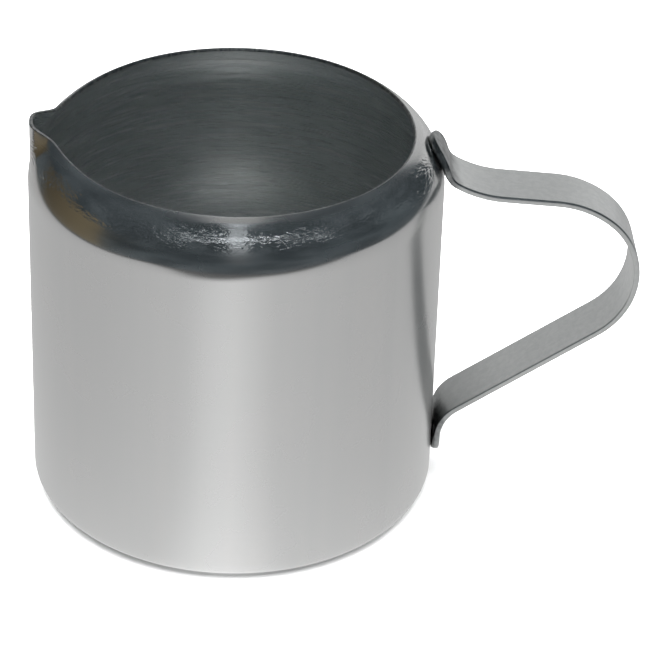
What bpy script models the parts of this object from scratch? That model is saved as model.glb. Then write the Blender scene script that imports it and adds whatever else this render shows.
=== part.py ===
"""Small stainless steel pouring jug, used as a candle melting pot.

A deep-drawn cup with a pressed spout, and a flat strap handle spot-welded to its shoulder and wall.
The origin is the centre of the base, +Z is up, the handle points to +X and the spout to -X.
Lengths are in metres and angles in degrees.
"""
import math

import bmesh
import bpy
from mathutils import Vector

# Cup
BODY_RADIUS = 0.0375
BODY_HEIGHT = 0.0727
SHEET = 0.0007
BASE_CORNER = 0.0037
SHOULDER_RADIUS = 0.0114
SHOULDER_TURN = 60.0

# Spout: a rounded nose, and the wide shallow flare of the rim that leads into it
NOSE_PUSH = 0.0032
NOSE_HALF_WIDTH = 0.0049
FLARE_PUSH = 0.0021
FLARE_HALF_WIDTH = 0.0095
SPOUT_LIFT = 0.0013

# Strap handle. Its runs start at the upper tab; a heading of 0 is +X and -90 is straight down.
STRAP_WIDTH = 0.0110
STRAP_THICKNESS = 0.0011
STRAP_CHAMFER = 0.00025
UPPER_TAB_TOP = 45.0
UPPER_TAB_FOOT = 16.4
NECK_BEND = (0.0036, -30.5)
TOP_SWEEP = (0.0203, -4.6)
TOP_RUN = 0.0097
FRONT_BEND = (0.0182, -40.0)
BACK_BEND = (0.0145, -145.9)
FOOT_BEND = (0.0075, -90.0)
LOWER_TAB_TIP_HEIGHT = 0.0051

# Spot welds
WELD_RADIUS = 0.0015
WELD_HEIGHT = 0.0004
WELD_SPACING = 0.0052
WELD_POCKET_DEPTH = 0.0007
UPPER_WELD_ANGLE = 28.0
LOWER_WELD_HEIGHT = 0.0093

# Touching pieces keep this gap
GAP = 0.0003

SHOULDER_BASE = BODY_HEIGHT - SHOULDER_RADIUS * math.sin(math.radians(SHOULDER_TURN))
SHOULDER_CENTRE = BODY_RADIUS - SHOULDER_RADIUS
RIM_RADIUS = SHOULDER_CENTRE + SHOULDER_RADIUS * math.cos(math.radians(SHOULDER_TURN))


def clear_scene():
    for old in list(bpy.data.objects):
        bpy.data.objects.remove(old)


def steel(name, colour, roughness):
    """A bare stainless steel finish."""
    material = bpy.data.materials.new(name)
    material.use_nodes = True
    shader = material.node_tree.nodes["Principled BSDF"]
    shader.inputs["Base Color"].default_value = (*colour, 1.0)
    shader.inputs["Roughness"].default_value = roughness
    shader.inputs["Metallic"].default_value = 1.0
    return material


def add_object(name, shape, material):
    """Turn a bmesh into a smooth-shaded object of the scene."""
    mesh = bpy.data.meshes.new(name)
    bmesh.ops.recalc_face_normals(shape, faces=shape.faces)
    shape.to_mesh(mesh)
    shape.free()
    mesh.shade_smooth()
    mesh.set_sharp_from_angle(angle=math.radians(35))
    mesh.materials.append(material)
    piece = bpy.data.objects.new(name, mesh)
    bpy.context.scene.collection.objects.link(piece)
    return piece


def loft(shape, rings, closed_ends):
    """Bridge equal rings of vertices into a tube, and cap its ends."""
    rows = [[shape.verts.new(point) for point in ring] for ring in rings]
    for lower, upper in zip(rows, rows[1:]):
        for i in range(len(lower)):
            j = (i + 1) % len(lower)
            shape.faces.new((lower[i], lower[j], upper[j], upper[i]))
    shape.faces.new(rows[0])
    if closed_ends:
        shape.faces.new(rows[-1])


# Cup

def column_angles():
    """Angles around the cup from +X: fine steps across the spout, coarse steps elsewhere."""
    spout_half = 30
    fine = range(180 - spout_half, 180 + spout_half, 2)
    coarse = range(180 + spout_half, 540 - spout_half, 6)
    return [math.radians(angle) for angle in (*fine, *coarse)]


def cup_profile():
    """Radius and height up the outside, from the edge of the flat base to the rim."""
    points = []
    for step in range(7):
        turn = math.radians(-90 + 15 * step)
        radius = BODY_RADIUS - BASE_CORNER + BASE_CORNER * math.cos(turn)
        points.append((radius, BASE_CORNER + BASE_CORNER * math.sin(turn)))
    for step in (1, 2):
        points.append((BODY_RADIUS, BASE_CORNER + (SHOULDER_BASE - BASE_CORNER) * step / 3))
    for step in range(13):
        turn = math.radians(SHOULDER_TURN * step / 12)
        radius = SHOULDER_CENTRE + SHOULDER_RADIUS * math.cos(turn)
        points.append((radius, SHOULDER_BASE + SHOULDER_RADIUS * math.sin(turn)))
    return points


def spout_shape(y):
    """How far the rim is pushed out at a distance y from the spout's middle, as a share of the most."""
    nose = NOSE_PUSH * math.exp(-(y / NOSE_HALF_WIDTH) ** 4)
    flare = FLARE_PUSH * math.exp(-(y / FLARE_HALF_WIDTH) ** 2)
    return (nose + flare) / (NOSE_PUSH + FLARE_PUSH)


def cup_point(radius, height, angle):
    """A point of the outer skin, with the spout pushed out so that its middle stands upright."""
    x = radius * math.cos(angle)
    y = radius * math.sin(angle)
    if x < 0:
        tip_radius = RIM_RADIUS + NOSE_PUSH + FLARE_PUSH
        share = spout_shape(y)
        reach = max(0.0, tip_radius - radius) if height > SHOULDER_BASE else 0.0
        x -= reach * share
        height += SPOUT_LIFT * share * (reach / (NOSE_PUSH + FLARE_PUSH)) ** 2
    return Vector((x, y, height))


def make_cup(material):
    shape = bmesh.new()
    angles = column_angles()
    rings = [[cup_point(radius, height, angle) for angle in angles] for radius, height in cup_profile()]
    loft(shape, rings, closed_ends=False)
    cup = add_object("jug_body", shape, material)
    sheet = cup.modifiers.new("sheet", "SOLIDIFY")
    sheet.thickness = SHEET
    sheet.offset = -1.0
    sheet.use_even_offset = True
    return cup


# Strap handle

class Path:
    """A flat route in the XZ plane, drawn as arcs and straight runs of the strap's middle."""

    def __init__(self, point, heading):
        self.x, self.z = point
        self.heading = heading
        self.points = [(self.x, self.z, self.heading)]

    def line(self, length, steps=1):
        for _ in range(steps):
            self.x += length / steps * math.cos(math.radians(self.heading))
            self.z += length / steps * math.sin(math.radians(self.heading))
            self.points.append((self.x, self.z, self.heading))

    def arc(self, radius, heading, step=7.0):
        side = 1 if heading > self.heading else -1
        start = math.radians(self.heading)
        centre_x = self.x - side * radius * math.sin(start)
        centre_z = self.z + side * radius * math.cos(start)
        steps = max(2, round(abs(heading - self.heading) / step))
        first = self.heading
        for count in range(1, steps + 1):
            self.heading = first + (heading - first) * count / steps
            turn = math.radians(self.heading)
            self.x = centre_x + side * radius * math.sin(turn)
            self.z = centre_z - side * radius * math.cos(turn)
            self.points.append((self.x, self.z, self.heading))


def shoulder_point(angle, height_off):
    """A point in the XZ plane at an angle up the shoulder and a height above its sheet."""
    reach = SHOULDER_RADIUS + height_off
    turn = math.radians(angle)
    return SHOULDER_CENTRE + reach * math.cos(turn), SHOULDER_BASE + reach * math.sin(turn)


def strap_path():
    middle = GAP + STRAP_THICKNESS / 2
    path = Path(shoulder_point(UPPER_TAB_TOP, middle), UPPER_TAB_TOP - 90)
    path.arc(SHOULDER_RADIUS + middle, UPPER_TAB_FOOT - 90, step=2.5)
    path.arc(*NECK_BEND)
    path.arc(*TOP_SWEEP)
    path.line(TOP_RUN, steps=2)
    path.arc(*FRONT_BEND)
    path.arc(*BACK_BEND)
    # The long lower run is as long as it takes to bring the foot bend onto the wall.
    radius, end = FOOT_BEND
    foot_reach = radius * (math.sin(math.radians(end)) - math.sin(math.radians(path.heading)))
    run = (BODY_RADIUS + middle - foot_reach - path.x) / math.cos(math.radians(path.heading))
    path.line(run, steps=3)
    path.arc(radius, end)
    path.line(path.z - LOWER_TAB_TIP_HEIGHT, steps=6)
    return path.points


def strap_rings():
    """Chamfered cross-sections of the strap along its path, narrowing round both tips."""
    points = strap_path()
    steps = [math.dist(a[:2], b[:2]) for a, b in zip(points, points[1:])]
    total = sum(steps)
    travelled = [sum(steps[:count]) for count in range(len(points))]
    half_thick = STRAP_THICKNESS / 2
    rings = []
    for (x, z, heading), done in zip(points, travelled):
        from_tip = min(done, total - done, STRAP_WIDTH / 2)
        inset = STRAP_WIDTH / 2 - from_tip
        half = math.sqrt(max((STRAP_WIDTH / 2) ** 2 - inset ** 2, 0.0016 ** 2))
        cut = STRAP_CHAMFER
        turn = math.radians(heading)
        out = Vector((-math.sin(turn), 0.0, math.cos(turn)))
        corners = (
            (-half, half_thick - cut), (cut - half, half_thick), (half - cut, half_thick), (half, half_thick - cut),
            (half, cut - half_thick), (half - cut, -half_thick), (cut - half, -half_thick), (-half, cut - half_thick),
        )
        rings.append([Vector((x, 0.0, z)) + Vector((0.0, y, 0.0)) + out * off for y, off in corners])
    return rings


def weld_places():
    """Name, centre on the cup's sheet and outward direction of each weld."""
    turn = math.radians(UPPER_WELD_ANGLE)
    upper_x, upper_z = shoulder_point(UPPER_WELD_ANGLE, 0.0)
    upper_out = Vector((math.cos(turn), 0.0, math.sin(turn)))
    lower_out = Vector((1.0, 0.0, 0.0))
    places = []
    for side, y in (("left", WELD_SPACING / 2), ("right", -WELD_SPACING / 2)):
        places.append((f"spot_weld_upper_{side}", Vector((upper_x, y, upper_z)), upper_out))
        places.append((f"spot_weld_lower_{side}", Vector((BODY_RADIUS, y, LOWER_WELD_HEIGHT)), lower_out))
    return places


def disc(shape, radius, height, base, out):
    """A short upright cylinder that starts at base and points along out."""
    made = bmesh.ops.create_cone(
        shape, cap_ends=True, segments=24, radius1=radius, radius2=radius, depth=height)
    turn = Vector((0.0, 0.0, 1.0)).rotation_difference(out).to_matrix().to_4x4()
    bmesh.ops.translate(shape, vec=(0.0, 0.0, height / 2), verts=made["verts"])
    bmesh.ops.transform(shape, matrix=turn, verts=made["verts"])
    bmesh.ops.translate(shape, vec=base, verts=made["verts"])


def make_strap(material):
    shape = bmesh.new()
    loft(shape, strap_rings(), closed_ends=True)
    strap = add_object("strap_handle", shape, material)

    pockets = bmesh.new()
    for _, centre, out in weld_places():
        disc(pockets, WELD_RADIUS + GAP, GAP + WELD_POCKET_DEPTH, centre, out)
    cutter = add_object("weld_pocket_cutter", pockets, material)
    cutter.hide_render = True
    cutter.display_type = "WIRE"
    cut = strap.modifiers.new("weld_pockets", "BOOLEAN")
    cut.operation = "DIFFERENCE"
    cut.object = cutter
    return strap


def make_welds(material):
    """The nuggets sit between the sheet and the roofs of the tabs' pockets."""
    for name, centre, out in weld_places():
        shape = bmesh.new()
        disc(shape, WELD_RADIUS, WELD_HEIGHT, centre + out * GAP, out)
        add_object(name, shape, material)


def main():
    clear_scene()
    make_cup(steel("polished_steel", (0.66, 0.66, 0.65), 0.22))
    make_strap(steel("brushed_steel", (0.60, 0.61, 0.61), 0.38))
    make_welds(steel("weld_steel", (0.48, 0.47, 0.46), 0.50))


main()
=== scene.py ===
"""A small pouring jug of stainless steel, used to melt and pour candle wax.

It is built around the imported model: the drawn cup, the welded strap handle, the weld
nuggets, and then the floor, the lights and the camera of a plain tabletop studio.
"""

import math

import bmesh
import bpy
from mathutils import Matrix, Vector, noise


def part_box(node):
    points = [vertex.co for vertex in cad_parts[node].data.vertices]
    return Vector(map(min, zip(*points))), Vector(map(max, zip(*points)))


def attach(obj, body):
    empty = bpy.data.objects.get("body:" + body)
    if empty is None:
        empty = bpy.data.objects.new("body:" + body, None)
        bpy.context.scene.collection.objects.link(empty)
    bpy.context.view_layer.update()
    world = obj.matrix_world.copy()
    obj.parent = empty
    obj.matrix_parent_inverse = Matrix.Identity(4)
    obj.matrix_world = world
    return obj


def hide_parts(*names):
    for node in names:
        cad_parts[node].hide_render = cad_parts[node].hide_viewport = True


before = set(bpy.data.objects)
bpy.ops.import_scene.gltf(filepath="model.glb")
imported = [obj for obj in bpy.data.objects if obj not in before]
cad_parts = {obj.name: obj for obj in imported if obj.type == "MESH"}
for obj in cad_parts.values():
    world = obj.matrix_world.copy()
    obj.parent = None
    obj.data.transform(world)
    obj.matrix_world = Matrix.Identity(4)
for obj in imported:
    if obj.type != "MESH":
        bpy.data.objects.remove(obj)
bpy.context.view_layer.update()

# ----------------------------------------------------------------------------------------
# The jug: one cup deep-drawn from thin stainless sheet, its shoulder rolled in and a spout
# pressed out of the rim. The outside is polished to a satin shine, the inside keeps the fine
# rings of a scouring brush, and the cut rim is duller than both.
# ----------------------------------------------------------------------------------------
cup_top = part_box("jug_body")[1]
CUP_RADIUS = cup_top.y
RIM_HEIGHT = 0.0727
SHEET = 0.0007
BASE_CORNER = 0.0037
SHOULDER_RADIUS = 0.0114
SHOULDER_TURN = math.radians(60)
SHOULDER_FOOT = RIM_HEIGHT - SHOULDER_RADIUS * math.sin(SHOULDER_TURN)
SHOULDER_CENTRE = CUP_RADIUS - SHOULDER_RADIUS
RIM_RADIUS = SHOULDER_CENTRE + SHOULDER_RADIUS * math.cos(SHOULDER_TURN)

# The spout is a rounded nose on a wide shallow flare, and lifts the rim a little.
NOSE_PUSH, NOSE_HALF_WIDTH = 0.0032, 0.0049
FLARE_PUSH, FLARE_HALF_WIDTH = 0.0021, 0.0095
SPOUT_PUSH = NOSE_PUSH + FLARE_PUSH
SPOUT_LIFT = cup_top.z - RIM_HEIGHT

# The press leaves the skin uneven: hardly at all on the wall, and more where the shoulder rolls in.
WALL_MARKS, SHOULDER_MARKS = 0.000004, 0.000022
MARKS_AROUND, MARKS_UP = 55, 160
MARKS_FADE = 0.004

BASE_RINGS = (0.028, 0.020, 0.012, 0.005)


def cup_profile():
    """Radius and height up the outside, from the edge of the flat base to the rim."""
    points = []
    corner_steps, wall_steps, shoulder_steps = 14, 40, 44
    for step in range(corner_steps):
        turn = math.radians(-90 + 90 * step / corner_steps)
        radius = CUP_RADIUS - BASE_CORNER + BASE_CORNER * math.cos(turn)
        points.append((radius, BASE_CORNER + BASE_CORNER * math.sin(turn)))
    for step in range(wall_steps):
        points.append((CUP_RADIUS, BASE_CORNER + (SHOULDER_FOOT - BASE_CORNER) * step / wall_steps))
    for step in range(shoulder_steps + 1):
        turn = SHOULDER_TURN * step / shoulder_steps
        radius = SHOULDER_CENTRE + SHOULDER_RADIUS * math.cos(turn)
        points.append((radius, SHOULDER_FOOT + SHOULDER_RADIUS * math.sin(turn)))
    return points


def column_angles():
    """Angles around the cup: fine steps across the spout, even steps elsewhere."""
    spout_half = 30
    fine = [180 - spout_half + 0.5 * step for step in range(4 * spout_half)]
    even = [180 + spout_half + 1.5 * step for step in range((360 - 2 * spout_half) * 2 // 3)]
    return [math.radians(angle) for angle in fine + even]


def pressed_out(radius, height, angle):
    """A point of the outer skin, with the spout pushed out until its middle stands upright."""
    x = radius * math.cos(angle)
    y = radius * math.sin(angle)
    if x < 0 and height > SHOULDER_FOOT:
        nose = NOSE_PUSH * math.exp(-(y / NOSE_HALF_WIDTH) ** 4)
        flare = FLARE_PUSH * math.exp(-(y / FLARE_HALF_WIDTH) ** 2)
        share = (nose + flare) / SPOUT_PUSH
        reach = max(0.0, RIM_RADIUS + SPOUT_PUSH - radius)
        x -= reach * share
        height += SPOUT_LIFT * share * (reach / SPOUT_PUSH) ** 2
    return Vector((x, y, height))


def draw_marks(point):
    """How far a point of the skin sinks where the press and the polishing left it uneven."""
    around = Vector((point.x, point.y, 0.0)) * MARKS_AROUND
    ripple = noise.noise(around + Vector((0.0, 0.0, point.z * MARKS_UP)))
    above_foot = min(1.0, max(0.0, (point.z - SHOULDER_FOOT) / MARKS_FADE))
    return (WALL_MARKS + SHOULDER_MARKS * above_foot) * (0.5 + 0.5 * ripple)


skin = bmesh.new()
angles = column_angles()
rows = []
for radius, height in cup_profile():
    row = []
    for angle in angles:
        point = pressed_out(radius, height, angle)
        inward = Vector((-math.cos(angle), -math.sin(angle), 0.0))
        row.append(skin.verts.new(point + inward * draw_marks(point)))
    rows.append(row)
for lower, upper in zip(rows, rows[1:]):
    for near in range(len(angles)):
        far = (near + 1) % len(angles)
        skin.faces.new((lower[near], lower[far], upper[far], upper[near]))
# The base closes in rings, so that the flat takes the same smooth shading as the wall.
inner_row = rows[0]
for ring_radius in BASE_RINGS:
    ring = [skin.verts.new((ring_radius * math.cos(a), ring_radius * math.sin(a), 0.0)) for a in angles]
    for near in range(len(angles)):
        far = (near + 1) % len(angles)
        skin.faces.new((inner_row[far], inner_row[near], ring[near], ring[far]))
    inner_row = ring
skin.faces.new(list(reversed(inner_row)))
bmesh.ops.recalc_face_normals(skin, faces=skin.faces)
cup_mesh = bpy.data.meshes.new("drawn_cup")
skin.to_mesh(cup_mesh)
skin.free()
cup_mesh.shade_smooth()
cup = bpy.data.objects.new("drawn_cup", cup_mesh)
bpy.context.scene.collection.objects.link(cup)

# The skin takes its thickness inwards. Its three finishes, in order: outside, inside and rim.
INSIDE_FINISH, RIM_FINISH = 1, 2
wall = cup.modifiers.new("sheet", "SOLIDIFY")
wall.thickness = SHEET
wall.offset = -1.0
wall.use_even_offset = True
wall.material_offset = INSIDE_FINISH
wall.material_offset_rim = RIM_FINISH
rim = cup.modifiers.new("deburred_rim", "BEVEL")
rim.width = 0.00022
rim.segments = 3
rim.limit_method = "ANGLE"
rim.angle_limit = math.radians(50)
rim.harden_normals = True
rim.material = RIM_FINISH


class Wire:
    """An output of a shader node. Arithmetic on wires adds Math nodes."""

    def __init__(self, socket):
        self.socket = socket
        self.tree = socket.id_data

    @staticmethod
    def node(tree, kind, settings=None, inputs=None, output=0):
        """Add a node: its settings come first, then the values or wires of its sockets."""
        made = tree.nodes.new(kind)
        for name, value in (settings or {}).items():
            if name == "stops":
                ramp = made.color_ramp
                while len(ramp.elements) < len(value):
                    ramp.elements.new(0.5)
                for element, (place, colour) in zip(ramp.elements, value):
                    element.position = place
                    element.color = (*colour, 1.0)
            else:
                setattr(made, name, value)
        for name, value in (inputs or {}).items():
            if isinstance(value, Wire):
                tree.links.new(value.socket, made.inputs[name])
            else:
                made.inputs[name].default_value = value
        return Wire(made.outputs[output]) if made.outputs else None

    def out(self, name):
        """Another output of the same node."""
        return Wire(self.socket.node.outputs[name])

    def maths(self, operation, *others):
        """A Math node that works on this output first, and then on the others."""
        values = dict(enumerate((self, *others)))
        return Wire.node(self.tree, "ShaderNodeMath", {"operation": operation}, values)

    def __add__(self, other):
        return self.maths("ADD", other)

    __radd__ = __add__

    def __sub__(self, other):
        return self.maths("SUBTRACT", other)

    def __rsub__(self, other):
        return Wire.node(self.tree, "ShaderNodeMath", {"operation": "SUBTRACT"}, {0: other, 1: self})

    def __mul__(self, other):
        return self.maths("MULTIPLY", other)

    __rmul__ = __mul__

    def __truediv__(self, other):
        return self.maths("DIVIDE", other)

    def __pow__(self, other):
        return self.maths("POWER", other)

    def __neg__(self):
        return 0 - self

    def __abs__(self):
        return self.maths("ABSOLUTE")

    def between(self, low, high):
        """0 below low, 1 above high, and a smooth step in the middle."""
        limits = {"Value": self, "From Min": low, "From Max": high}
        return Wire.node(self.tree, "ShaderNodeMapRange", {"interpolation_type": "SMOOTHSTEP"}, limits)


def new_finish(name):
    """An empty material, with its node tree and the place of each surface point in metres."""
    material = bpy.data.materials.new(name)
    material.use_nodes = True
    tree = material.node_tree
    tree.nodes.clear()
    place = Wire.node(tree, "ShaderNodeTexCoord", output="Object")
    return material, tree, place


def stretched_noise(tree, place, scale, detail=2.0, roughness=0.5):
    """Noise whose grain is drawn out along the axes that get the smaller scales."""
    spread = Wire.node(tree, "ShaderNodeVectorMath", {"operation": "MULTIPLY"}, {0: place, 1: scale})
    grain = {"Vector": spread, "Scale": 1.0, "Detail": detail, "Roughness": roughness}
    return Wire.node(tree, "ShaderNodeTexNoise", {"normalize": True}, grain)


def tint(tree, mask, low, high):
    """A colour that runs from low to high with a mask."""
    return Wire.node(tree, "ShaderNodeValToRGB", {"stops": ((0.0, low), (1.0, high))}, {"Fac": mask})


def steel_surface(tree, colour, roughness, grain_height, grain_depth, anisotropy):
    """Bare steel: a metal that takes its grain as height, in metres from trough to crest."""
    bump = {"Height": grain_height, "Distance": grain_depth, "Strength": 1.0}
    normal = Wire.node(tree, "ShaderNodeBump", None, bump)
    values = {
        "Base Color": colour,
        "Metallic": 1.0,
        "Roughness": roughness,
        "Anisotropic": anisotropy,
        "Normal": normal,
    }
    return Wire.node(tree, "ShaderNodeBsdfPrincipled", None, values)


# How deep the grain of each finish goes, and the heights over which the wear on the shoulder's
# crest fades in and out again.
OUTER_GRAIN, INNER_GRAIN, RIM_GRAIN = 0.000012, 0.000004, 0.00001
CREST_FOOT, CREST_TOP = (0.0672, 0.0690), (0.0720, 0.0708)


def polished_outside():
    """Satin polish over faint rings, worn to bright small dents along the shoulder's crest."""
    material, tree, place = new_finish("polished_steel")
    height = Wire.node(tree, "ShaderNodeSeparateXYZ", None, {"Vector": place}, "Z")
    crest = height.between(*CREST_FOOT) * height.between(*CREST_TOP)
    fine_rings = stretched_noise(tree, place, (40.0, 40.0, 5200.0))
    broad_rings = stretched_noise(tree, place, (25.0, 25.0, 700.0))
    clouds = stretched_noise(tree, place, (90.0, 90.0, 90.0), detail=4.0)
    down_draw = stretched_noise(tree, place, (420.0, 420.0, 6.0), detail=3.0)
    hammer = stretched_noise(tree, place, (800.0, 800.0, 2300.0), detail=2.0, roughness=0.6)
    worn = stretched_noise(tree, place, (160.0, 160.0, 160.0), detail=2.0).between(0.40, 0.62)
    colour = tint(tree, clouds * 0.5 + down_draw * 0.5, (0.645, 0.655, 0.655), (0.705, 0.70, 0.69))
    shine = (0.12 + fine_rings * 0.03 + clouds * 0.04) * (1 - crest * 0.55)
    dents = (hammer - 0.5) * (0.4 + worn) * (0.012 + crest)
    grain = fine_rings * 0.10 + broad_rings * 0.10 + dents * 9.0
    polished = steel_surface(tree, colour, shine, grain, OUTER_GRAIN, 0.85)
    scoured = steel_surface(tree, colour, 0.42 + fine_rings * 0.08, grain, OUTER_GRAIN, 0.9)
    haze = (0.20 + clouds * 0.10) * (1 - crest * 0.3)
    mixed = Wire.node(tree, "ShaderNodeMixShader", None, {0: haze, 1: polished, 2: scoured})
    Wire.node(tree, "ShaderNodeOutputMaterial", None, {"Surface": mixed})
    return material


def brushed_inside():
    """Brush rings up the wall and round the bottom, with a painted highlight: a lighter band of colour
    down the middle of the back wall.
    """
    material, tree, place = new_finish("brushed_inside_steel")
    sideways = Wire.node(tree, "ShaderNodeSeparateXYZ", None, {"Vector": place})
    backward = sideways.out("Y")
    reach = (sideways * sideways + backward * backward) ** 0.5
    turned = {"X": sideways, "Y": backward, "Z": sideways.out("Z") - reach}
    up_and_in = Wire.node(tree, "ShaderNodeCombineXYZ", None, turned)
    fine_rings = stretched_noise(tree, up_and_in, (30.0, 30.0, 4200.0), detail=3.0)
    broad_rings = stretched_noise(tree, up_and_in, (90.0, 90.0, 1900.0), detail=3.0, roughness=0.55)
    clouds = stretched_noise(tree, place, (70.0, 70.0, 70.0), detail=4.0)
    lines = broad_rings.between(0.30, 0.70)
    # Painted highlight: the colour is made lighter in a band down the middle of the back wall.
    painted_highlight_strip = (1 - abs(sideways - 0.003).between(0.008, 0.026)) * backward.between(0.0, 0.02)
    shade = lines * 0.22 + clouds * 0.22 + painted_highlight_strip * 0.56
    colour = tint(tree, shade, (0.70, 0.72, 0.72), (0.99, 1.0, 0.99))
    grain = fine_rings + broad_rings * 0.6
    smooth = steel_surface(tree, colour, 0.21 + lines * 0.06, grain, INNER_GRAIN, 0.6)
    scoured = steel_surface(tree, colour, 0.52, grain, INNER_GRAIN, 0.85)
    mixed = Wire.node(tree, "ShaderNodeMixShader", None, {0: 0.16 + lines * 0.16, 1: smooth, 2: scoured})
    Wire.node(tree, "ShaderNodeOutputMaterial", None, {"Surface": mixed})
    return material


def sheared_rim():
    """The cut edge: dull and nicked by the shears, and only roughly deburred."""
    material, tree, place = new_finish("sheared_rim_steel")
    nicks = stretched_noise(tree, place, (1800.0, 1800.0, 300.0), detail=3.0, roughness=0.6)
    colour = tint(tree, nicks.between(0.35, 0.65), (0.20, 0.205, 0.21), (0.38, 0.385, 0.385))
    surface = steel_surface(tree, colour, 0.32 + nicks * 0.2, nicks, RIM_GRAIN, 0.0)
    Wire.node(tree, "ShaderNodeOutputMaterial", None, {"Surface": surface})
    return material


cup_mesh.materials.append(polished_outside())
cup_mesh.materials.append(brushed_inside())
cup_mesh.materials.append(sheared_rim())
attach(cup, "root")
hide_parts("jug_body")

# ----------------------------------------------------------------------------------------
# The handle: one flat stainless strap, slit from sheet so that its outer edges are rounded
# and its inner edges stay crisp. It is bent into an ear, and a round-ended tab at each end
# lies on the jug, with two electrode dimples where it is spot-welded.
# ----------------------------------------------------------------------------------------
STRAP_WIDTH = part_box("strap_handle")[1].y * 2
STRAP_THICKNESS = 0.0011
STRAP_GAP = 0.0003
OUTER_EDGE = 0.00032
INNER_EDGE = 0.00020
HALF_WIDTH = STRAP_WIDTH / 2
HALF_THICK = STRAP_THICKNESS / 2
STRAP_MIDDLE = STRAP_GAP + HALF_THICK
TAB_TIP_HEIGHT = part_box("strap_handle")[0].z

# Headings are turned from +X, so -90 is straight down; each bend is a radius and its last heading.
UPPER_TAB_TOP, UPPER_TAB_FOOT = 45.0, 16.4
NECK_BEND, TOP_SWEEP, TOP_RUN = (0.0036, -30.5), (0.0203, -4.6), 0.0097
FRONT_BEND, BACK_BEND, FOOT_BEND = (0.0182, -40.0), (0.0145, -145.9), (0.0075, -90.0)

DIMPLE_RADIUS = 0.0015
DIMPLE_DEPTH = 0.00011
POCKET_RADIUS = 0.0018
POCKET_DEPTH = 0.0007
TAB_SEAT = 0.00024

# The mesh has finer steps along the tabs, where the dimples are, than along the free strap.
TAB_STEP, FREE_STEP = 0.0003, 0.0007
FINE_FIRST, FINE_LAST = 0.010, 0.016

WELD_NODES = [f"spot_weld_{end}_{side}" for end in ("upper", "lower") for side in ("left", "right")]


def strap_runs():
    """The strap's middle as runs: where each starts, its heading, its bend and its length."""
    first_turn = math.radians(UPPER_TAB_TOP)
    reach = SHOULDER_RADIUS + STRAP_MIDDLE
    x = SHOULDER_CENTRE + reach * math.cos(first_turn)
    z = SHOULDER_FOOT + reach * math.sin(first_turn)
    heading = first_turn - math.pi / 2
    runs = []

    def add(length, bend):
        nonlocal x, z, heading
        runs.append((x, z, heading, bend, length))
        x, z, heading = along_run(runs[-1], length)

    def add_bend(radius, last):
        turn = math.radians(last) - heading
        add(abs(turn) * radius, math.copysign(1 / radius, turn))

    add_bend(reach, UPPER_TAB_FOOT - 90)
    add_bend(*NECK_BEND)
    add_bend(*TOP_SWEEP)
    add(TOP_RUN, 0.0)
    add_bend(*FRONT_BEND)
    add_bend(*BACK_BEND)
    radius, last = FOOT_BEND
    foot_reach = radius * (math.sin(math.radians(last)) - math.sin(heading))
    add((CUP_RADIUS + STRAP_MIDDLE - foot_reach - x) / math.cos(heading), 0.0)
    add_bend(*FOOT_BEND)
    add(z - TAB_TIP_HEIGHT, 0.0)
    return runs


def along_run(run, distance):
    """Place and heading at a distance along one run."""
    x, z, heading, bend, _ = run
    if bend == 0.0:
        return x + distance * math.cos(heading), z + distance * math.sin(heading), heading
    last = heading + bend * distance
    step_x = (math.sin(last) - math.sin(heading)) / bend
    step_z = (math.cos(heading) - math.cos(last)) / bend
    return x + step_x, z + step_z, last


RUNS = strap_runs()
STRAP_LENGTH = sum(run[-1] for run in RUNS)


def strap_point(distance, across, off):
    """A point at a distance along the strap, across it and off its middle, outwards."""
    left = distance
    for run in RUNS:
        if left <= run[-1] or run is RUNS[-1]:
            break
        left -= run[-1]
    x, z, heading = along_run(run, left)
    return Vector((x - off * math.sin(heading), across, z + off * math.cos(heading)))


def section_round():
    """The strap's section as (inset from the outline, height off the middle, share across)."""
    steps_across, steps_round = 34, 6
    section = [(OUTER_EDGE, HALF_THICK, 2 * step / steps_across - 1) for step in range(steps_across + 1)]
    edge = []
    for step in range(1, steps_round + 1):
        turn = math.pi / 2 * step / steps_round
        edge.append((OUTER_EDGE * (1 - math.sin(turn)), HALF_THICK - OUTER_EDGE * (1 - math.cos(turn))))
    for step in range(steps_round):
        turn = math.pi / 2 * step / steps_round
        edge.append((INNER_EDGE * (1 - math.cos(turn)), INNER_EDGE * (1 - math.sin(turn)) - HALF_THICK))
    section += [(inset, off, 1.0) for inset, off in edge]
    section += [(INNER_EDGE, -HALF_THICK, 1 - 2 * step / steps_across) for step in range(steps_across + 1)]
    section += [(inset, off, -1.0) for inset, off in reversed(edge)]
    return section


def strap_stations():
    """Stations down the strap: (share of the first round end, distance, share of the last)."""
    tip_steps = 26
    round_end = [math.pi / 2 * step / tip_steps for step in range(tip_steps)]
    stations = [("first", turn) for turn in round_end]
    distance = HALF_WIDTH
    while distance < STRAP_LENGTH - HALF_WIDTH:
        stations.append(("run", distance))
        in_tab = distance < FINE_FIRST or distance > STRAP_LENGTH - FINE_LAST
        distance += TAB_STEP if in_tab else FREE_STEP
    stations += [("last", turn) for turn in reversed(round_end)]
    return stations


def outline(station, inset):
    """Distance along and half width of the strap's outline, drawn in by an inset."""
    kind, value = station
    reach = HALF_WIDTH - inset
    if kind == "first":
        return HALF_WIDTH - reach * math.cos(value), reach * math.sin(value)
    if kind == "last":
        return STRAP_LENGTH - HALF_WIDTH + reach * math.cos(value), reach * math.sin(value)
    return value, reach


def weld_spots():
    """Distance along and place across of each weld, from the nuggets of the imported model."""
    spots = []
    for node in WELD_NODES:
        low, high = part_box(node)
        centre = (low + high) / 2
        if "upper" in node:
            turn = math.atan2(centre.z - SHOULDER_FOOT, centre.x - SHOULDER_CENTRE)
            distance = (math.radians(UPPER_TAB_TOP) - turn) * (SHOULDER_RADIUS + STRAP_MIDDLE)
        else:
            distance = STRAP_LENGTH - (centre.z - TAB_TIP_HEIGHT)
        spots.append((distance, centre.y))
    return spots


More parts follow.
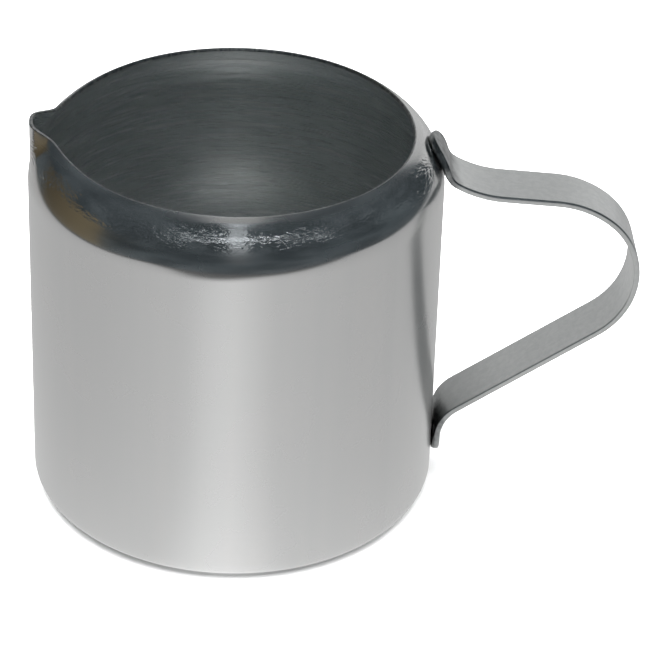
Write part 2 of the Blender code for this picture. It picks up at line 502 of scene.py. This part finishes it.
def smooth_step(value, low, high):
    share = min(1.0, max(0.0, (value - low) / (high - low)))
    return share * share * (3 - 2 * share)


def weld_dent(distance, across, outer):
    """How far a face is moved off its plane: the electrode dimples outside, and inside the
    pockets that the nuggets fill and the seat of each tab, pressed close to the jug."""
    nearest = min(math.hypot(distance - place, across - y) for place, y in WELD_SPOTS)
    if outer:
        crater = 1 - smooth_step(nearest, DIMPLE_RADIUS - 0.0003, DIMPLE_RADIUS + 0.0002)
        lip = math.exp(-((nearest - DIMPLE_RADIUS - 0.0004) / 0.0002) ** 2)
        return -DIMPLE_DEPTH * crater + 0.00001 * lip
    pocket = 1 - smooth_step(nearest, POCKET_RADIUS, POCKET_RADIUS + 0.0002)
    upper_tab, lower_tab = RUNS[0][-1], STRAP_LENGTH - RUNS[-1][-1]
    seated = 1 - smooth_step(distance, upper_tab - 0.001, upper_tab + 0.001)
    seated += smooth_step(distance, lower_tab - 0.001, lower_tab + 0.001)
    return POCKET_DEPTH * pocket - TAB_SEAT * seated * (1 - pocket)


WELD_SPOTS = weld_spots()
band = bmesh.new()
section = section_round()
rings = []
for station in strap_stations():
    ring = []
    for inset, off, share in section:
        distance, half = outline(station, inset)
        across = share * half
        if abs(off) == HALF_THICK:
            off += weld_dent(distance, across, outer=off > 0)
        ring.append(band.verts.new(strap_point(distance, across, off)))
    rings.append(ring)
for ahead, behind in zip(rings, rings[1:]):
    for near in range(len(section)):
        far = (near + 1) % len(section)
        band.faces.new((ahead[near], ahead[far], behind[far], behind[near]))
# At the very tip the two sides of the section meet: the mirrored corners become one.
for ring in (rings[0], rings[-1]):
    bmesh.ops.remove_doubles(band, verts=ring, dist=0.0000001)
bmesh.ops.recalc_face_normals(band, faces=band.faces)
strap_mesh = bpy.data.meshes.new("strap_ear")
band.to_mesh(strap_mesh)
band.free()
strap_mesh.shade_smooth()
strap = bpy.data.objects.new("strap_ear", strap_mesh)
bpy.context.scene.collection.objects.link(strap)


def brushed_strap():
    """Satin steel brushed along the strap, dulled dark by the heat of the welds on its tabs, and darker
    over the foot bend.
    """
    material, tree, place = new_finish("brushed_strap_steel")
    fine_lines = stretched_noise(tree, place, (60.0, 6500.0, 60.0), detail=3.0)
    broad_lines = stretched_noise(tree, place, (45.0, 1300.0, 45.0))
    mottle = stretched_noise(tree, place, (900.0, 900.0, 900.0), detail=4.0, roughness=0.65)
    clouds = stretched_noise(tree, place, (220.0, 220.0, 220.0), detail=4.0)
    shade = broad_lines * 0.3 + clouds * 0.3 + mottle.between(0.3, 0.7) * 0.4
    bare = tint(tree, shade, (0.55, 0.57, 0.565), (0.73, 0.74, 0.735))
    outwards = Wire.node(tree, "ShaderNodeSeparateXYZ", None, {"Vector": place}, "X")
    on_foot_bend = outwards.between(0.052, 0.040) * outwards.out("Z").between(0.032, 0.020)
    ragged = outwards + clouds * 0.004
    burnt = ragged.between(0.0425, 0.0400) * (0.55 + mottle.between(0.35, 0.65) * 0.35)
    # The foot bend, away from the welds, is also made darker in colour, by up to 0.28.
    burnt = burnt.maths("MAXIMUM", on_foot_bend * 0.28)
    # Sockets 0, 6, 7 and result 2 of a Mix node are its factor and the two colours it mixes.
    oxide = {0: burnt, 6: bare, 7: (0.115, 0.122, 0.126, 1.0)}
    colour = Wire.node(tree, "ShaderNodeMix", {"data_type": "RGBA"}, oxide, 2)
    grain = fine_lines + broad_lines * 0.6 + mottle * (0.5 + burnt * 4.0)
    surface = steel_surface(tree, colour, 0.25 + fine_lines * 0.08 + clouds * 0.06, grain, 0.000005, 0.0)
    Wire.node(tree, "ShaderNodeOutputMaterial", None, {"Surface": surface})
    return material


strap_mesh.materials.append(brushed_strap())
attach(strap, "root")
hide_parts("strap_handle")

# ----------------------------------------------------------------------------------------
# The spot welds: four small nuggets of melted and frozen steel between the tabs and the jug.
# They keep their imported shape, and are dull and a little blued by the welding heat.
# ----------------------------------------------------------------------------------------


def weld_metal():
    """Coarse frozen grains, blue in some patches and straw-coloured in others."""
    material, tree, place = new_finish("blued_weld_metal")
    grains = stretched_noise(tree, place, (2600.0, 2600.0, 2600.0), detail=5.0)
    patches = stretched_noise(tree, place, (700.0, 700.0, 700.0), detail=2.0)
    colour = tint(tree, patches, (0.33, 0.34, 0.40), (0.55, 0.50, 0.43))
    surface = steel_surface(tree, colour, 0.42 + grains * 0.25, grains, 0.00002, 0.0)
    Wire.node(tree, "ShaderNodeOutputMaterial", None, {"Surface": surface})
    return material


blued = weld_metal()
for node in WELD_NODES:
    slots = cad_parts[node].material_slots
    if slots:
        slots[0].material = blued
    else:
        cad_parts[node].data.materials.append(blued)

# ----------------------------------------------------------------------------------------
# The table: a wide pale matt floor under soft overhead light. The steel mirrors another set:
# a sheet of white card on a dark table with a card behind it, a brown board, and the lamps.
# ----------------------------------------------------------------------------------------
FLOOR_LEVEL = -0.0002


def flat_panel(name, corners, material):
    """A stage panel of one flat face."""
    mesh = bpy.data.meshes.new(name)
    mesh.from_pydata(corners, [], [range(len(corners))])
    mesh.materials.append(material)
    panel = bpy.data.objects.new(name, mesh)
    bpy.context.scene.collection.objects.link(panel)
    return panel


def floor_paper():
    material, tree, place = new_finish("pale_paper")
    fibres = stretched_noise(tree, place, (900.0, 900.0, 900.0), detail=3.0)
    colour = tint(tree, fibres, (0.87, 0.87, 0.87), (0.91, 0.91, 0.91))
    values = {"Base Color": colour, "Roughness": 0.9, "Specular IOR Level": 0.1}
    surface = Wire.node(tree, "ShaderNodeBsdfPrincipled", None, values)
    Wire.node(tree, "ShaderNodeOutputMaterial", None, {"Surface": surface})
    return material


def glowing_card(name, glow_of, hue):
    """A card or lamp whose glow is worked out from its own place, in one hue."""
    material, tree, place = new_finish(name)
    parts = Wire.node(tree, "ShaderNodeSeparateXYZ", None, {"Vector": place})
    glow = glow_of(parts, parts.out("Y"), parts.out("Z"))
    grey = Wire.node(tree, "ShaderNodeCombineXYZ", None, {"X": glow, "Y": glow, "Z": glow})
    shade = Wire.node(tree, "ShaderNodeVectorMath", {"operation": "MULTIPLY"}, {0: grey, 1: hue})
    values = {"Base Color": (0.0, 0.0, 0.0, 1.0), "Specular IOR Level": 0.0}
    values |= {"Emission Color": shade, "Emission Strength": 1.0}
    surface = Wire.node(tree, "ShaderNodeBsdfPrincipled", None, values)
    Wire.node(tree, "ShaderNodeOutputMaterial", None, {"Surface": surface})
    return material


def mirrored_panel(what, corners, glow_of, hue=(1.0, 1.0, 1.0)):
    """A glowing panel that shows only in the reflections on the steel."""
    panel = flat_panel(f"mirrored_{what}", corners, glowing_card(f"{what}_glow", glow_of, hue))
    panel.visible_camera = False
    panel.visible_diffuse = False
    panel.visible_transmission = False
    panel.visible_volume_scatter = False
    panel.visible_shadow = False
    return panel


def flat_corners(left, right, front, back, height):
    return [(left, front, height), (right, front, height), (right, back, height), (left, back, height)]


def wall_corners(left, right, y, foot, top, top_y):
    return [(left, y, foot), (right, y, foot), (right, top_y, top), (left, top_y, top)]


floor = flat_panel("floor", flat_corners(-4.0, 4.0, -4.0, 4.0, FLOOR_LEVEL), floor_paper())
floor.visible_glossy = False

# Degrees in a radian, for the glows that follow a direction.
DEGREES = 57.3


def sheet_glow(x, y, z):
    """Brighter close to the jug and along a streak straight forward from it, with soft edges."""
    reach = (x * x + y * y) ** 0.5
    near = ((CUP_RADIUS - reach) / 0.035).maths("EXPONENT")
    sideways = abs(x.maths("ARCTAN2", -y) * DEGREES + 4.0)
    streak = 1 - sideways.between(0.0, 24.0)
    spread = 1 - sideways.between(0.0, 80.0)
    bay = 1 - abs(x + 0.05).between(0.0, 0.11)
    front = (y - bay * 0.055 + abs(x) * 0.10).between(-0.262, -0.178)
    left = x.between(-0.245, -0.205)
    return (0.585 + near * 0.14) * (1 + streak * 0.38 + spread * 0.20) * (0.1 + front * left * 0.9)


sheet_corners = flat_corners(-0.26, 0.46, -0.30, 0.45, FLOOR_LEVEL - 0.0001)
mirrored_panel("sheet", sheet_corners, sheet_glow)


def backdrop_glow(x, y, z):
    """Falling upwards, and to the left."""
    return 0.78 - z.between(0.0, 0.55) * 0.2 - x.between(0.0, -0.22) * 0.24


mirrored_panel("backdrop", wall_corners(-0.40, 0.45, 0.42, 0.0, 0.44, 0.42), backdrop_glow)


def board_glow(x, y, z):
    """Falling towards its far end."""
    return 0.20 - y.between(-0.15, 0.35) * 0.12


board_corners = [(-0.6, -0.172, -0.1), (-0.6, 0.375, -0.1), (-0.6, 0.375, 0.24), (-0.6, -0.172, 0.22)]
mirrored_panel("board", board_corners, board_glow, (1.0, 0.80, 0.48))


def tube_glow(x, y, z):
    """Brightest in the middle of the lamp, falling to its ends."""
    return 1.7 - abs(x - 0.1).between(0.25, 0.55) * 0.7


tube_corners = wall_corners(-0.63, 1.0, -0.72, 0.79, 0.825, -0.70)
mirrored_panel("tube", tube_corners, tube_glow, (0.95, 1.0, 1.05))


def key_glow(x, y, z):
    """Two bright bars on a dimmer upright screen, which fades towards its foot."""
    height = z.maths("ARCTAN2", -y) * DEGREES
    low_bar = 1 - abs(height - 48.5).between(0.0, 5.0)
    high_bar = 1 - abs(height - 73.0).between(0.0, 6.0)
    return 0.15 + height.between(12.0, 46.0) * 0.38 + low_bar * 0.5 + high_bar * 0.62


key_corners = wall_corners(-0.05, 0.06, -0.70, 0.12, 1.20, -0.30)
mirrored_panel("key", key_corners, key_glow, (0.94, 1.0, 1.05))


def ceiling_glow(x, y, z):
    """Dim in front and bright behind, so that it lights the inside of the cup over the rim."""
    return 0.5 + y.between(0.0, 0.10) * 4.3


ceiling = mirrored_panel("ceiling", flat_corners(-0.19, 0.17, -0.30, 0.68, 1.2), ceiling_glow)
# The ceiling is kept off the strap, which would mirror it as a glare along its top.
under_ceiling = bpy.data.collections.new("under_ceiling")
under_ceiling.objects.link(cup)
ceiling.light_linking.receiver_collection = under_ceiling

overhead = bpy.data.lights.new("overhead_softbox", "AREA")
overhead.shape = "SQUARE"
overhead.size = 2.4
overhead.energy = 150.0
overhead_light = bpy.data.objects.new("overhead_softbox", overhead)
overhead_light.location = (0.1, -0.1, 1.6)
overhead_light.visible_glossy = False
bpy.context.scene.collection.objects.link(overhead_light)

room = bpy.data.worlds.new("dim_room")
room.use_nodes = True
room.node_tree.nodes.clear()
around = Wire.node(room.node_tree, "ShaderNodeTexCoord", output="Generated")
shapes = stretched_noise(room.node_tree, around, (3.5, 3.5, 5.0), detail=3.0, roughness=0.6)
gloom = tint(room.node_tree, shapes.between(0.35, 0.70), (0.032, 0.041, 0.047), (0.114, 0.135, 0.147))
dim = Wire.node(room.node_tree, "ShaderNodeBackground", None, {"Color": gloom})
Wire.node(room.node_tree, "ShaderNodeOutputWorld", None, {"Surface": dim})
bpy.context.scene.world = room
bpy.context.scene.view_settings.view_transform = "Standard"
bpy.context.scene.cycles.glossy_bounces = 12

# ----------------------------------------------------------------------------------------
# The camera: a long lens from the front, looking down at the jug with the handle to the right.
# ----------------------------------------------------------------------------------------
CAMERA_AZIMUTH = math.radians(-0.75)
CAMERA_ELEVATION = math.radians(31.46)
CAMERA_DISTANCE = 0.5609
CAMERA_ROLL = math.radians(1.909)
ORBIT_CENTRE = Vector((0.0, 0.0, 0.03634))
AIM = Vector((0.01633, 0.0, 0.03194))

away = Vector((math.sin(CAMERA_AZIMUTH), -math.cos(CAMERA_AZIMUTH), 0.0)) * math.cos(CAMERA_ELEVATION)
away.z = math.sin(CAMERA_ELEVATION)
eye = ORBIT_CENTRE + away * CAMERA_DISTANCE
forward = (AIM - eye).normalized()
level = forward.cross(Vector((0.0, 0.0, 1.0))).normalized()
plumb = level.cross(forward)
right = level * math.cos(CAMERA_ROLL) + plumb * math.sin(CAMERA_ROLL)
up = right.cross(forward)
lens = bpy.data.cameras.new("camera")
lens.sensor_width = 36.0
lens.lens = 169.395
lens.clip_start = 0.01
camera = bpy.data.objects.new("camera", lens)
camera.matrix_world = Matrix.Translation(eye) @ Matrix((right, up, -forward)).transposed().to_4x4()
bpy.context.scene.collection.objects.link(camera)
bpy.context.scene.camera = camera
